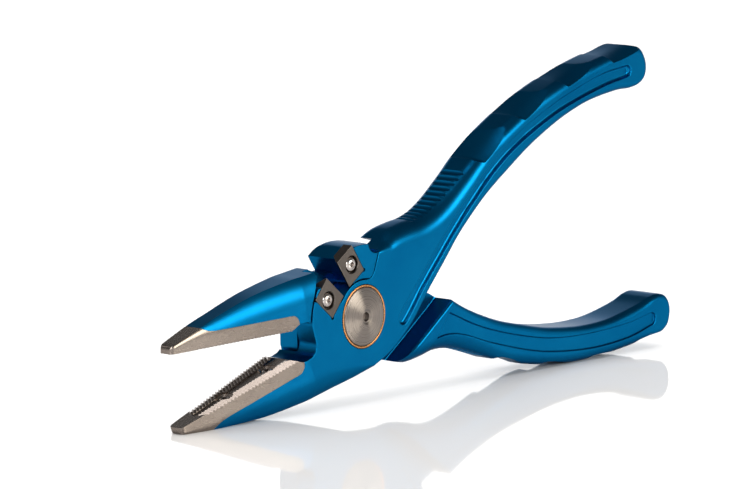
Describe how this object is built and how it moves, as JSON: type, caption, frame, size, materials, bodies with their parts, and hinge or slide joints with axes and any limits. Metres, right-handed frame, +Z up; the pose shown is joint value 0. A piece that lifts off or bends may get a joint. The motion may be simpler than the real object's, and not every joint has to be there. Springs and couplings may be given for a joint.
{
  "type": "fishing pliers",
  "caption": "Open lap-jointed fishing pliers with tapered jaws, steel grip inserts, side cutters and curved handles with finger scallops.",
  "frame": {"origin": "on the standing surface, under the middle of the overall box, with the tool open and standing on its edge", "axes": "+X along the tool from the jaws to the handles, +Y through its thickness from the cutter side to the back, +Z up"},
  "size_m": [0.1966, 0.0139, 0.085],
  "materials": {
    "blue_aluminium": "blue anodised, fine satin",
    "satin_steel": "fine brushed stainless steel",
    "turned_steel": "face-turned stainless steel",
    "screw_steel": "polished stainless steel",
    "carbide": "ground tungsten carbide",
    "bronze": "turned bearing bronze",
    "spring_steel": "drawn spring wire",
    "seal_rubber": "matt black"
  },
  "bodies": {
    "front_half": {"front_frame": "blue_aluminium", "lower_jaw_insert": "satin_steel", "lower_jaw_screw_tip": "screw_steel", "lower_jaw_screw_root": "screw_steel", "front_cutter": "carbide", "front_cutter_screw": "screw_steel", "pivot_bolt": "turned_steel", "pivot_nut": "turned_steel", "front_bushing": "bronze", "spring_spacer": "bronze", "return_spring": "spring_steel", "pivot_seal": "seal_rubber", "front_spring_pin": "screw_steel"},
    "rear_half": {"rear_frame": "blue_aluminium", "upper_jaw_insert": "satin_steel", "upper_jaw_screw_tip": "screw_steel", "upper_jaw_screw_root": "screw_steel", "rear_cutter": "carbide", "rear_cutter_screw": "screw_steel", "rear_bushing": "bronze", "rear_spring_pin": "screw_steel"}
  },
  "joints": [
    {"name": "jaw_pivot", "type": "hinge", "parent": "front_half", "child": "rear_half", "pos_m": [-0.0319, 0, 0.02273], "axis": [0, -1, 0], "range_deg": [0, 16], "stiffness_Nm_per_rad": 0.25, "springref_deg": -20.05}
  ]
}
